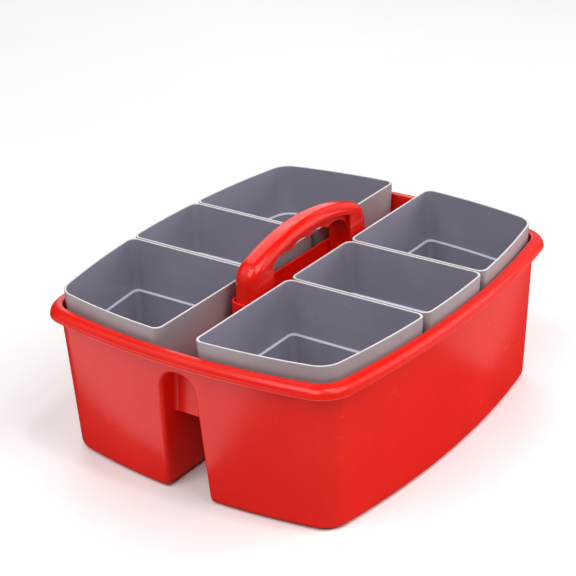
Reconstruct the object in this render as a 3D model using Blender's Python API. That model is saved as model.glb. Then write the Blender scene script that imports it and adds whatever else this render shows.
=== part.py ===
"""Carry caddy for art supplies: a twin-bin tub, a snap-in handle and six lift-out cups.

Units are metres, +Z is up. The origin is on the ground under the middle of the tub.
X runs along the handle and the tunnel under it, Y runs across the two bins.
"""
import math

import bmesh
import bpy

# Overall size
LENGTH = 0.330          # over the rim, along X
WIDTH = 0.285           # over the rim, along Y
HEIGHT = 0.1626         # ground to the top of the handle
GAP = 0.0003            # kept between pieces that touch

# Tub
RIM_TOP = 0.1203
LIP_BOTTOM = 0.1115
LIP_THICKNESS = 0.0018
LIP_STRAIGHT = 0.0022   # upright part of the lip, above its lower edge
RIM_REACH = 0.0069      # how far the rim stands out from the wall
RIM_FLANGE = 0.0036     # top of the rim to the underside of its flat part
RIM_ROLL = 0.0075       # width of the rim's rounded outer edge
RIM_EASE = ((0.0035, 0.0), (0.0014, 0.0005), (0.0002, 0.0019), (-0.004, 0.0022))
RIM_CORNER = 0.0177
WALL = 0.0018
FLOOR = 0.0022
WALL_DRAFT = 0.0485     # inward lean of the walls, as a slope
WALL_CORNER = 0.013
CAVITY_CORNER = 0.011
END_BOW = 0.0137        # how far the middle of each end swells out
SIDE_BOW_TOP = 0.0151
SIDE_BOW_BOTTOM = 0.0137
BOTTOM_ROUND = 0.006

# Tunnel between the bins, open from below and at both ends
TUNNEL_HALF_BOTTOM = 0.0185
TUNNEL_HALF_TOP = 0.0145
TUNNEL_SHOULDER = 0.088
TUNNEL_ARCH = 0.013     # radius of the arch's corners
MOUTH_ROUND = 0.004     # rounding where the tunnel meets the end faces
WEB_SETBACK = 0.0150    # cross web, measured from the end face
WEB_THICKNESS = 0.002
WEB_BOTTOM = 0.061
SADDLE_SHOULDER = 0.083     # the tunnel is lower between the webs than at its mouths
ARCH_TUCK = 0.0001      # the lower arch stands this much inside the tunnel's walls
SADDLE_TOP = SADDLE_SHOULDER + TUNNEL_ARCH + WALL

# Handle and the block that it plugs into
HANDLE_FOOT = SADDLE_TOP + GAP
HANDLE_WIDTH = 0.0202
HANDLE_ROUND = 0.008
HANDLE_WALL = 0.0022
HANDLE_TOP_RADIUS = 0.180
LEG_OUTER = 0.0764      # outer face of a leg inside the block, from the middle
LEG_INNER = 0.0505
LEG_DRAFT = 0.067       # inward lean of a leg's outer face above the block
LEG_CORNER = 0.010
CAP_EDGE = 0.155        # lower edge of the grip's wide cap, at the middle
CAP_EDGE_RADIUS = 0.150
CORE_HALF_WIDTH = 0.007     # scalloped core under the cap
CORE_HOLLOW_HALF_WIDTH = 0.005
CORE_EDGE = 0.1466      # points between the scallops, at the middle
CORE_EDGE_RADIUS = 0.200
CORE_CORNER = 0.014
SCALLOP_PITCH = 0.024
SCALLOP_DEPTH = 0.0030
BLOCK_WALL = 0.0020
BLOCK_TOP = 0.1221
TAB_HALF_WIDTH = 0.004
TAB_CATCH = 0.0009      # below the tunnel's crown, which keeps the hooks clear of its curve
TAB_HOOK = 0.0014
TAB_DEPTH = 0.0025

# Cups
CUP_RIM = 0.1315
CUP_WALL = 0.0018
CUP_DRAFT = 0.0437
CUP_LEDGE = 0.090       # height of the step in the walls
CUP_STEP = 0.0018
CUP_ROW_IN = 0.0152     # handle side of each row, from the middle
CUP_SIDE = 0.1338       # outer side of each row at its middle
CUP_SIDE_CURVE = 0.81   # metres of bow per square metre of length
CUP_END = 0.1555
CUP_END_CURVE = 1.02
CUP_SPLIT = 0.0396      # between the middle cup and the corner cups
CUP_SPLIT_GAP = 0.001
CUP_CORNER = 0.0062
CUP_OUTER_CORNER = 0.0115   # the corner that stands in the tub's corner
CUP_BOTTOM_ROUND = 0.006

TUB_RED = (0.72, 0.022, 0.012, 1.0)
CUP_GREY = (0.17, 0.16, 0.19, 1.0)


# ---------------------------------------------------------------- helpers

def clear_scene():
    for item in list(bpy.data.objects):
        bpy.data.objects.remove(item, do_unlink=True)


def plastic(name, colour, roughness):
    material = bpy.data.materials.new(name)
    material.use_nodes = True
    shader = material.node_tree.nodes["Principled BSDF"]
    shader.inputs["Base Color"].default_value = colour
    shader.inputs["Roughness"].default_value = roughness
    shader.inputs["Metallic"].default_value = 0.0
    material.diffuse_color = colour
    return material


def loft(name, rings):
    """One closed solid through rings of equal point count, capped at both ends."""
    bm = bmesh.new()
    rows = [[bm.verts.new(point) for point in ring] for ring in rings]
    count = len(rows[0])
    for lower, upper in zip(rows, rows[1:]):
        for i in range(count):
            j = (i + 1) % count
            bm.faces.new((lower[i], lower[j], upper[j], upper[i]))
    bm.faces.new(rows[0])
    bm.faces.new(rows[-1])
    bmesh.ops.recalc_face_normals(bm, faces=bm.faces)
    mesh = bpy.data.meshes.new(name)
    bm.to_mesh(mesh)
    bm.free()
    item = bpy.data.objects.new(name, mesh)
    bpy.context.scene.collection.objects.link(item)
    return item


def boxes(name, corners):
    """Separate boxes in one mesh, each given by its low and high corner."""
    bm = bmesh.new()
    for low, high in corners:
        cube = bmesh.ops.create_cube(bm, size=1.0)["verts"]
        for vert in cube:
            for axis in range(3):
                side = vert.co[axis] + 0.5
                vert.co[axis] = low[axis] + side * (high[axis] - low[axis])
    mesh = bpy.data.meshes.new(name)
    bm.to_mesh(mesh)
    bm.free()
    item = bpy.data.objects.new(name, mesh)
    bpy.context.scene.collection.objects.link(item)
    return item


def as_tool(item):
    item.hide_render = True
    item.display_type = "WIRE"
    return item


def combine(target, tool, operation="DIFFERENCE"):
    modifier = target.modifiers.new(tool.name, "BOOLEAN")
    modifier.operation = operation
    modifier.solver = "EXACT"
    modifier.object = as_tool(tool)


def finish(item, material, angle=35.0):
    item.data.materials.append(material)
    item.data.shade_smooth()
    item.data.set_sharp_from_angle(angle=math.radians(angle))


def mix(a, b, t):
    return a + (b - a) * t


def corner_arc(start, corner, end, steps):
    """Round arc from start to end whose tangents meet at the corner."""
    ax, ay = start[0] - corner[0], start[1] - corner[1]
    bx, by = end[0] - corner[0], end[1] - corner[1]
    cosine = (ax * bx + ay * by) / (math.hypot(ax, ay) * math.hypot(bx, by))
    weight = math.sqrt(max(0.0, (1.0 - cosine) / 2.0))
    points = []
    for k in range(1, steps):
        t = k / steps
        parts = ((1 - t) ** 2, 2 * weight * t * (1 - t), t * t)
        total = sum(parts)
        points.append(tuple(
            (parts[0] * start[i] + parts[1] * corner[i] + parts[2] * end[i]) / total
            for i in range(2)))
    return points


def rounded_loop(corners, bows, radii, side_steps, corner_steps=4):
    """Closed outline of four sides, each with its own bow, and four rounded corners."""
    sides = []
    count = len(corners)
    for i in range(count):
        a, b = corners[i], corners[(i + 1) % count]
        length = math.hypot(b[0] - a[0], b[1] - a[1])
        normal = ((b[1] - a[1]) / length, -(b[0] - a[0]) / length)
        first = radii[i] / length
        last = 1.0 - radii[(i + 1) % count] / length
        side = []
        for k in range(side_steps[i] + 1):
            t = mix(first, last, k / side_steps[i])
            rise = 4.0 * bows[i] * t * (1.0 - t)
            side.append((mix(a[0], b[0], t) + normal[0] * rise,
                         mix(a[1], b[1], t) + normal[1] * rise))
        sides.append(side)
    outline = []
    for i in range(count):
        after = sides[(i + 1) % count]
        outline.extend(sides[i])
        outline.extend(corner_arc(sides[i][-1], corners[(i + 1) % count], after[0], corner_steps))
    return outline


def at_height(outline, z):
    return [(x, y, z) for x, y in outline]


# ---------------------------------------------------------------- tub

def wall_inset(z):
    """How far the outer face of the wall stands inside the rim's edge."""
    return RIM_REACH + WALL_DRAFT * (LIP_BOTTOM - min(z, LIP_BOTTOM))


def tub_ring(inset, z, corner):
    a = LENGTH / 2 - inset
    b = WIDTH / 2 - inset
    side_bow = mix(SIDE_BOW_BOTTOM, SIDE_BOW_TOP, z / RIM_TOP)
    cx, cy = a - END_BOW, b - side_bow
    corners = ((cx, -cy), (cx, cy), (-cx, cy), (-cx, -cy))
    bows = (END_BOW, side_bow, END_BOW, side_bow)
    return at_height(rounded_loop(corners, bows, (corner,) * 4, (8, 12, 8, 12)), z)


def rounded_base(z_floor, radius, inset_at, corner, steps=3):
    """Rings that turn a flat bottom up into the wall."""
    rings = []
    for k in range(steps + 1):
        angle = math.radians(90.0) * k / steps
        z = z_floor + radius * (1.0 - math.cos(angle))
        inset = inset_at(z_floor + radius) + radius * (1.0 - math.sin(angle))
        rings.append(tub_ring(inset, z, corner))
    return rings


def tub_outside():
    rings = rounded_base(0.0, BOTTOM_ROUND, wall_inset, WALL_CORNER)
    flange_under = RIM_TOP - RIM_FLANGE
    rings.append(tub_ring(wall_inset(flange_under), flange_under, WALL_CORNER))
    rings.append(tub_ring(LIP_THICKNESS, flange_under, RIM_CORNER))
    rings.append(tub_ring(LIP_THICKNESS, LIP_BOTTOM, RIM_CORNER))
    rings.append(tub_ring(0.0, LIP_BOTTOM, RIM_CORNER))
    for k in range(5):
        angle = math.radians(90.0) * k / 4
        inset = RIM_ROLL * (1.0 - math.cos(angle))
        z = mix(LIP_BOTTOM + LIP_STRAIGHT, RIM_TOP, math.sin(angle))
        rings.append(tub_ring(inset, z, RIM_CORNER))
    return loft("tub", rings)


def tub_cavity():
    def inner_inset(z):
        return wall_inset(z) + WALL
    rings = rounded_base(FLOOR, BOTTOM_ROUND - WALL, inner_inset, CAVITY_CORNER)
    for depth, ease in RIM_EASE:
        rings.append(tub_ring(inner_inset(RIM_TOP) - ease, RIM_TOP - depth, CAVITY_CORNER))
    return loft("cavity", rings)


def tunnel_half(z):
    t = (z - BOTTOM_ROUND) / (TUNNEL_SHOULDER - BOTTOM_ROUND)
    return mix(TUNNEL_HALF_BOTTOM, TUNNEL_HALF_TOP, t)


def arch_top(grow, shoulder):
    """Right half (y, z) of the arch above its shoulder, grown outward by grow."""
    radius = TUNNEL_ARCH + grow
    centre = tunnel_half(shoulder) + grow - radius
    half = []
    for k in range(5):
        angle = math.radians(90.0) * k / 4
        half.append((centre + radius * math.cos(angle), shoulder + radius * math.sin(angle)))
    return half


def arch_section(grow, foot, foot_round, below):
    """Half-to-half outline (y, z) of the tunnel's arch, grown outward by grow."""
    half = []
    for k in range(4):
        angle = math.radians(90.0) * k / 3
        z = foot + foot_round * (1.0 - math.cos(angle))
        reach = foot_round * (1.0 - math.sin(angle))
        half.append((tunnel_half(foot + foot_round) + grow + reach, z))
    half.insert(0, (half[0][0], below))
    half += arch_top(grow, TUNNEL_SHOULDER)
    return half + [(-y, z) for y, z in reversed(half)]


def web_face():
    return LENGTH / 2 - wall_inset(WEB_BOTTOM) - WEB_SETBACK


def space_over_saddle(name, grow, half_length):
    """What the lower arch between the webs leaves free under the height of the mouths."""
    foot, reach = SADDLE_SHOULDER - 0.002, 0.04
    space = boxes(name, [((-half_length, -reach, foot), (half_length, reach, RIM_TOP + 0.01))])
    below = foot - 0.002
    half = [(tunnel_half(below) + grow + 4 * ARCH_TUCK, below)]
    half += arch_top(grow - ARCH_TUCK, SADDLE_SHOULDER)
    section = half + [(-y, z) for y, z in reversed(half)]
    ends = (-half_length - 0.005, half_length + 0.005)
    combine(space, loft(name + "_arch", [[(x, y, z) for y, z in section] for x in ends]))
    return space


def divider():
    """The saddle between the bins: the arch, one wall thickness outside the tunnel."""
    section = arch_section(WALL, FLOOR, BOTTOM_ROUND - WALL, -0.001)
    saddle = loft("divider", [[(x, y, z) for y, z in section] for x in (-LENGTH / 2, LENGTH / 2)])
    combine(saddle, space_over_saddle("saddle_space", WALL, web_face() - WEB_THICKNESS))
    return saddle


def tunnel():
    def end_face(z):
        return LENGTH / 2 - wall_inset(z)
    stations = ((-0.010, MOUTH_ROUND), (0.0, MOUTH_ROUND))
    for k in (1, 2, 3):
        angle = math.radians(90.0) * k / 3
        depth = MOUTH_ROUND * (1.0 - math.cos(angle))
        stations += ((depth, MOUTH_ROUND * (1.0 - math.sin(angle))),)
    rings = []
    for side in (-1, 1):
        ordered = stations if side < 0 else tuple(reversed(stations))
        for depth, grow in ordered:
            section = arch_section(grow, 0.0, BOTTOM_ROUND, -0.001)
            rings.append([(side * (end_face(z) - depth), y, z) for y, z in section])
    return loft("tunnel", rings)


def webs():
    face = web_face()
    reach = 0.03
    return boxes("webs", [
        ((side * face - (WEB_THICKNESS if side > 0 else 0.0), -reach, WEB_BOTTOM),
         (side * face + (WEB_THICKNESS if side < 0 else 0.0), reach, RIM_TOP))
        for side in (-1, 1)])


def plain_box(name, half_length, half_width, corner, low, high):
    corners = ((half_length, -half_width), (half_length, half_width),
               (-half_length, half_width), (-half_length, -half_width))
    outline = rounded_loop(corners, (0, 0, 0, 0), (corner,) * 4, (1, 1, 1, 1), 3)
    return loft(name, [at_height(outline, low), at_height(outline, high)])


def tab_places():
    """(x of the tab's hooked face, x of its back, way the hook points) for each tab."""
    places = []
    for side in (-1, 1):
        places.append((side * LEG_INNER, side * (LEG_INNER + HANDLE_WALL), -side))
        places.append((side * LEG_OUTER, side * (LEG_OUTER - HANDLE_WALL), side))
    return places


def make_tub(material):
    tub = tub_outside()
    hollow_half_length = LEG_OUTER + GAP
    hollow_half_width = HANDLE_WIDTH / 2 + GAP
    block = plain_box("block", hollow_half_length + BLOCK_WALL, hollow_half_width + BLOCK_WALL,
                      HANDLE_ROUND, SADDLE_SHOULDER, BLOCK_TOP)
    socket = plain_box("socket", hollow_half_length, hollow_half_width,
                       HANDLE_ROUND - BLOCK_WALL, SADDLE_TOP, BLOCK_TOP + 0.003)
    slots = boxes("tab_slots", [
        ((min(a, b) - GAP, -TAB_HALF_WIDTH - GAP, SADDLE_SHOULDER),
         (max(a, b) + GAP, TAB_HALF_WIDTH + GAP, SADDLE_TOP + 0.001))
        for a, b, _ in tab_places()])
    cavity = tub_cavity()
    combine(cavity, divider())
    passage = tunnel()
    combine(passage, webs())
    combine(passage, space_over_saddle("tunnel_space", 0.0, web_face() - WEB_THICKNESS / 2))
    combine(tub, cavity)
    combine(tub, block, "UNION")
    combine(tub, passage)
    combine(tub, socket)
    combine(tub, slots)
    finish(tub, material)
    return tub


# ---------------------------------------------------------------- handle

def leg_face(z, inset):
    return LEG_OUTER - LEG_DRAFT * max(0.0, z - BLOCK_TOP) - inset


def handle_path(inset, foot):
    """Outer outline (x, z) from one foot over the top to the other."""
    radius = HANDLE_TOP_RADIUS - inset
    centre = HEIGHT - HANDLE_TOP_RADIUS
    corner_z = HEIGHT
    for _ in range(20):
        corner_x = leg_face(corner_z, inset)
        corner_z = centre + math.sqrt(radius ** 2 - corner_x ** 2)
    cut = max(LEG_CORNER - inset * 0.7, 0.003)
    low = (leg_face(corner_z - cut, inset), corner_z - cut)
    high_x = corner_x - cut
    high = (high_x, centre + math.sqrt(radius ** 2 - high_x ** 2))
    half = [(leg_face(foot, inset), foot), (leg_face(BLOCK_TOP, inset), BLOCK_TOP), low]
    half += corner_arc(low, (corner_x, corner_z), high, 5)
    for k in range(6):
        x = high_x * (1.0 - k / 6)
        half.append((x, centre + math.sqrt(radius ** 2 - x * x)))
    return half + [(0.0, centre + radius)] + [(-x, z) for x, z in reversed(half)]


def arch_solid(name, inset, foot):
    """The handle's filled outline, rounded over along its whole outer edge."""
    half_width = HANDLE_WIDTH / 2 - inset
    round_over = HANDLE_ROUND - inset
    stations = []
    for k in range(5):
        angle = math.radians(90.0) * k / 4
        y = half_width - round_over * (1.0 - math.sin(angle))
        stations.append((y, round_over * (1.0 - math.cos(angle))))
    rows = [(-y, drop) for y, drop in reversed(stations)] + stations
    rings = []
    for y, drop in rows:
        rings.append([(x, y, z) for x, z in handle_path(inset + drop, foot)])
    return loft(name, rings)


def cap_edge(x):
    return CAP_EDGE - x * x / (2 * CAP_EDGE_RADIUS)


def core_edge(x):
    phase = (x / SCALLOP_PITCH) % 1.0
    scallop = SCALLOP_DEPTH * 4.0 * phase * (1.0 - phase)
    return CORE_EDGE - x * x / (2 * CORE_EDGE_RADIUS) + scallop


def finger_gap(name, edge, corner, steps, y_low, y_high):
    """The space between the legs, up to the given lower edge of the grip."""
    x_turn = LEG_INNER - corner
    z_turn = edge(x_turn)
    half = [(LEG_INNER, SADDLE_SHOULDER), (LEG_INNER, z_turn - corner)]
    half += corner_arc(half[1], (LEG_INNER, z_turn), (x_turn, z_turn), 5)
    for k in range(steps):
        x = x_turn * (1.0 - k / steps)
        half.append((x, edge(x)))
    outline = half + [(0.0, edge(0.0))] + [(-x, z) for x, z in reversed(half)]
    return loft(name, [[(x, y, z) for x, z in outline] for y in (y_low, y_high)])


def snap_tabs():
    """Four hooks that pass through the block's floor and catch under it."""
    catch = SADDLE_SHOULDER + TUNNEL_ARCH - TAB_CATCH
    tip = catch - TAB_DEPTH
    bm = bmesh.new()
    for face, back, way in tab_places():
        top = HANDLE_FOOT + 0.003
        profile = ((face, top), (face, catch), (face + way * TAB_HOOK, catch),
                   (face, tip), (back, tip), (back, top))
        rows = [[bm.verts.new((x, y, z)) for x, z in profile]
                for y in (-TAB_HALF_WIDTH, TAB_HALF_WIDTH)]
        for i in range(len(profile)):
            j = (i + 1) % len(profile)
            bm.faces.new((rows[0][i], rows[0][j], rows[1][j], rows[1][i]))
        bm.faces.new(rows[0])
        bm.faces.new(rows[1])
    bmesh.ops.recalc_face_normals(bm, faces=bm.faces)
    mesh = bpy.data.meshes.new("snap_tabs")
    bm.to_mesh(mesh)
    bm.free()
    item = bpy.data.objects.new("snap_tabs", mesh)
    bpy.context.scene.collection.objects.link(item)
    return item


def make_handle(material):
    handle = arch_solid("handle", 0.0, HANDLE_FOOT)
    channel = arch_solid("channel", HANDLE_WALL, HANDLE_FOOT - 0.005)
    reach = HANDLE_WIDTH
    tall = HEIGHT + 0.01
    low, high = LEG_INNER, LEG_INNER + HANDLE_WALL
    combine(channel, boxes("leg_walls", [
        ((min(side * low, side * high), -reach, 0.0), (max(side * low, side * high), reach, tall))
        for side in (-1, 1)]))
    combine(channel, boxes("core_walls", [
        ((-low - 0.0005, min(side * CORE_HOLLOW_HALF_WIDTH, side * reach), 0.0),
         (low + 0.0005, max(side * CORE_HOLLOW_HALF_WIDTH, side * reach), tall))
        for side in (-1, 1)]))
    combine(handle, channel)
    combine(handle, finger_gap("core_gap", core_edge, CORE_CORNER, 20, -reach, reach))
    for name, y_low, y_high in (("cap_gap_right", -reach, -CORE_HALF_WIDTH),
                                ("cap_gap_left", CORE_HALF_WIDTH, reach)):
        combine(handle, finger_gap(name, cap_edge, 0.001, 8, y_low, y_high))
    combine(handle, snap_tabs(), "UNION")
    finish(handle, material)
    return handle


# ---------------------------------------------------------------- cups

def corner_cup_outline(inset):
    """Corner cup in the +X +Y quarter: two straight sides, two that follow the tub."""
    x_in = CUP_SPLIT + CUP_SPLIT_GAP / 2 + inset
    y_in = CUP_ROW_IN + inset
    end, side = CUP_END - inset, CUP_SIDE - inset
    x_corner, y_corner = end, side
    for _ in range(40):
        x_corner = end - CUP_END_CURVE * y_corner ** 2
        y_corner = side - CUP_SIDE_CURVE * x_corner ** 2
    corners = ((x_in, y_in), (end - CUP_END_CURVE * y_in ** 2, y_in),
               (x_corner, y_corner), (x_in, side - CUP_SIDE_CURVE * x_in ** 2))
    end_bow = CUP_END_CURVE * (y_corner - y_in) ** 2 / 4
    side_bow = CUP_SIDE_CURVE * (x_corner - x_in) ** 2 / 4
    tight, wide = CUP_CORNER - inset * 0.3, CUP_OUTER_CORNER - inset * 0.3
    radii = (tight, tight, wide, tight)
    return rounded_loop(corners, (0.0, end_bow, side_bow, 0.0), radii, (1, 4, 4, 1), 3)


def middle_cup_outline(inset):
    """Middle cup on the +Y side: three straight sides, one that follows the tub."""
    half = CUP_SPLIT - CUP_SPLIT_GAP / 2 - inset
    y_in = CUP_ROW_IN + inset
    y_out = CUP_SIDE - inset - CUP_SIDE_CURVE * half ** 2
    corners = ((-half, y_in), (half, y_in), (half, y_out), (-half, y_out))
    side_bow = CUP_SIDE_CURVE * half ** 2
    radii = (CUP_CORNER - inset * 0.3,) * 4
    return rounded_loop(corners, (0.0, 0.0, side_bow, 0.0), radii, (1, 1, 4, 1), 3)


def cup_inset(z):
    """Draft of a cup's wall, with the step that lets the cups nest."""
    inset = CUP_DRAFT * (CUP_RIM - z)
    if z < CUP_LEDGE:
        inset += CUP_STEP
    return inset


def cup_rings(outline, floor, extra, radius, sign_x, sign_y):
    """Rings from a rounded bottom edge up over the step to the rim."""
    rings = []
    for k in range(3):
        angle = math.radians(90.0) * k / 2
        z = floor + radius * (1.0 - math.cos(angle))
        inset = cup_inset(floor + radius) + extra + radius * (1.0 - math.sin(angle))
        rings.append((inset, z))
    rings.append((cup_inset(CUP_LEDGE - 0.0012) + extra, CUP_LEDGE - 0.0012))
    rings.append((cup_inset(CUP_LEDGE) + extra, CUP_LEDGE))
    rings.append((extra, CUP_RIM))
    return [[(sign_x * x, sign_y * y, z) for x, y in outline(inset)] for inset, z in rings]


def make_cup(name, outline, sign_x, sign_y, material):
    bottom = FLOOR + GAP
    outside = cup_rings(outline, bottom, 0.0, CUP_BOTTOM_ROUND, sign_x, sign_y)
    inside = cup_rings(outline, bottom + CUP_WALL, CUP_WALL, CUP_BOTTOM_ROUND - CUP_WALL, sign_x, sign_y)
    cup = loft(name, outside + inside[::-1])
    finish(cup, material)
    return cup


def main():
    clear_scene()
    red = plastic("tub_red", TUB_RED, 0.28)
    handle_red = plastic("handle_red", TUB_RED, 0.25)
    grey = plastic("cup_grey", CUP_GREY, 0.42)
    make_tub(red)
    make_handle(handle_red)
    for side_name, sign_y in (("left", 1), ("right", -1)):
        make_cup("cup_front_" + side_name, corner_cup_outline, -1, sign_y, grey)
        make_cup("cup_middle_" + side_name, middle_cup_outline, 1, sign_y, grey)
        make_cup("cup_back_" + side_name, corner_cup_outline, 1, sign_y, grey)


main()
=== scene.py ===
"""Looks for the art supply caddy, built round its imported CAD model.

Units are metres and every piece is made in the CAD model's own frame. The pieces follow the CAD
solids, with finer curves, rounded edges and fillets, and each has its own procedural plastic.
"""

import math

import bmesh
import bpy
from mathutils import Matrix, Vector


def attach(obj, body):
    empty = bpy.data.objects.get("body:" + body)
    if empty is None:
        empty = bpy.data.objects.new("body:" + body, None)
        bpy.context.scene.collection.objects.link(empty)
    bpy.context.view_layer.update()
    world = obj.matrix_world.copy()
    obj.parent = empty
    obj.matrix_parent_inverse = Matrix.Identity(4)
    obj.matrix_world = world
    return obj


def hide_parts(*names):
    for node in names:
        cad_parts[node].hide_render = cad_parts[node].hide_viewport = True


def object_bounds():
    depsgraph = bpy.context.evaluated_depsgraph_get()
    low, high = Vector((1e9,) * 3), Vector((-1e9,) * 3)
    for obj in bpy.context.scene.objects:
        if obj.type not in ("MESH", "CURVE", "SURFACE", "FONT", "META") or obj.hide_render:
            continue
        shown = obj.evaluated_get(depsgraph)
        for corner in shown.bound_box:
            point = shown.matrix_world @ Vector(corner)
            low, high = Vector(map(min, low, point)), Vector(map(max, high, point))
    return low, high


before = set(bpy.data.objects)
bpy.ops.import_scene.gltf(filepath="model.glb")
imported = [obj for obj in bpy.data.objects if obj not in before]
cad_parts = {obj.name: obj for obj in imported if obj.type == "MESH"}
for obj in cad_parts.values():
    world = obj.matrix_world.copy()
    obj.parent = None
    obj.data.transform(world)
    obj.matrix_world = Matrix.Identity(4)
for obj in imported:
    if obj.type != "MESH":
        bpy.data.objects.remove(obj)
cad_low, cad_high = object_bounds()

# Overall size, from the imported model
LENGTH = cad_high.x - cad_low.x
WIDTH = cad_high.y - cad_low.y
HEIGHT = cad_high.z - cad_low.z
GAP = 0.0003            # between two pieces that touch

# Tub
RIM_TOP = 0.1203
LIP_BOTTOM = 0.1115
LIP_THICKNESS = 0.0018
LIP_STRAIGHT = 0.0024
LIP_BEAD = 0.00025      # how far the lip's lower edge stands proud of the band above it
LIP_BEAD_TOP = 0.0012
RIM_REACH = 0.0069      # from the wall's outer face to the rim's edge
RIM_FLANGE = 0.0036
RIM_ROLL = 0.0075
EASE_WIDTH = 0.0019     # rounding of the rim's inner edge
EASE_DEPTH = 0.0026
RIM_CORNER = 0.0177
UNDER_FILLET = 0.0012   # where the wall meets the underside of the rim
UNDER_CORNER = 0.3      # share of the rim's corner radius in the corners of that fillet
WALL = 0.0018
FLOOR = 0.0022
WALL_DRAFT = 0.0485
WALL_CORNER = 0.013
CAVITY_CORNER = 0.011
EASE_CORNER = RIM_CORNER - RIM_REACH * 0.6  # corner radius at the rim's inner edge
END_BOW = 0.0137
SIDE_BOW_TOP = 0.0151
SIDE_BOW_BOTTOM = 0.0137
BOTTOM_ROUND = 0.006

# Tunnel between the bins
TUNNEL_HALF_BOTTOM = 0.0185
TUNNEL_HALF_TOP = 0.0145
TUNNEL_SHOULDER = 0.088
TUNNEL_ARCH = 0.013
MOUTH_ROUND = 0.004
WEB_SETBACK = 0.0150
WEB_THICKNESS = 0.002
WEB_BOTTOM = 0.061
WEB_FILLET = 0.003
WEB_REACH = 0.03        # half of the web's width before the tunnel trims it
SADDLE_SHOULDER = 0.083 # the arch's shoulder between the webs, where saddle and tunnel are lower
ARCH_TUCK = 0.0001      # the lower arch starts this far inside the tunnel's wall
SPACE_REACH = 0.04      # half width of the space over the saddle
SPACE_OVERLAP = 0.002   # height by which that space and the arch cut from it overlap
SADDLE_TOP = SADDLE_SHOULDER + TUNNEL_ARCH + WALL
SADDLE_FILLET = 0.0015  # where the saddle runs into the end walls

# Handle and its block
HANDLE_FOOT = SADDLE_TOP + GAP
HANDLE_WIDTH = 0.0202
HANDLE_ROUND = 0.008
HANDLE_WALL = 0.0022
HANDLE_TOP_RADIUS = 0.180
LEG_OUTER = 0.0764
LEG_INNER = 0.0505
LEG_DRAFT = 0.067       # inward lean of a leg's outer face above the block
LEG_CORNER = 0.010
LEG_CORNER_LEAST = 0.003
LEG_CORNER_SHRINK = 0.7 # the hollow's corners are smaller by this share of the wall
CAP_EDGE = 0.155        # lower edge of the grip's wide cap, at the middle
CAP_EDGE_RADIUS = 0.150
CORE_HALF_WIDTH = 0.007
CORE_HOLLOW_HALF_WIDTH = 0.005
CORE_EDGE = 0.1466      # points between the scallops, at the middle
CORE_EDGE_RADIUS = 0.200
CORE_CORNER = 0.014
CAP_CORNER = 0.001
CORE_OVERLAP = 0.0005   # how far the core's walls run into the legs
GRIP_EDGE = 0.0007      # rounding of the grip's lower edges
SCALLOP_PITCH = 0.024
SCALLOP_DEPTH = 0.0030
BLOCK_WALL = 0.0020
BLOCK_TOP = 0.1221
BLOCK_EDGE = 0.0006
TAB_HALF_WIDTH = 0.004
TAB_CATCH = 0.0009      # below the tunnel's crown, which keeps the hooks clear of its curve
TAB_HOOK = 0.0014
TAB_DEPTH = 0.0025
TAB_ROOT = 0.003        # how far a tab runs up into its leg

# Cups
CUP_RIM = 0.1315
CUP_WALL = 0.0018
CUP_DRAFT = 0.0437
CUP_LEDGE = 0.090
CUP_STEP = 0.0018
CUP_STEP_HEIGHT = 0.0012
CUP_STEP_ROOM = 0.0004  # between the last ring under the step and the step
CUP_ROW_IN = 0.0152     # handle side of each row, from the middle
CUP_SIDE = 0.1338       # rim side of each row, at its middle
CUP_SIDE_CURVE = 0.81
CUP_END = 0.1555        # end of each row, if it weren't curved back from the middle
CUP_END_CURVE = 1.02
CUP_SPLIT = 0.0396      # between the middle cup and the corner cups
CUP_SPLIT_GAP = 0.001
CUP_CORNER = 0.0062
CUP_OUTER_CORNER = 0.0115
CUP_CORNER_SHRINK = 0.3 # the corners get smaller by this share of the inset
CUP_BOTTOM_ROUND = 0.006

# Fineness
SIDE_STEPS = 34
CORNER_STEPS = 12
WALL_STEPS = 12
ROUND_STEPS = 8
EDGE_STEPS = 5
FILLET_STEPS = 4
LIP_STEPS = 4
ARCH_STEPS = 12
TUNNEL_STEPS = 14
BLOCK_SIDE_STEPS = (6, 2, 6, 2)
BLOCK_CORNER_STEPS = 8
LEG_STEPS = 6
LEG_CORNER_STEPS = 14
HANDLE_TOP_STEPS = 20
GRIP_STEPS = 60
GRIP_CORNER_STEPS = 10
CORNER_CUP_STEPS = (10, 14, 14, 10)
MIDDLE_CUP_STEPS = (8, 12, 12, 12)
CUP_CORNER_STEPS = 10
CUP_WALL_STEPS = 8
CUP_TOP_STEPS = 5
CUP_RIM_STEPS = 4
SOLVE_ROUNDS = 40
SMOOTH_ANGLE = 35.0
WELD = 0.00001          # points closer than this are crumbs of the cutting and are welded

# How far cutting shapes run past the surfaces that they open
CROSSING = 0.00005      # a fillet past its wall, so that the two surfaces cross cleanly
PAST = 0.004
PAST_WALL = 0.006
PAST_RIM = 0.010
PAST_FACE = 0.001       # past the ground or the block's floor
WALL_MIDDLE = 0.06      # height where a lengthwise shape's straight stretch is measured from

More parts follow.
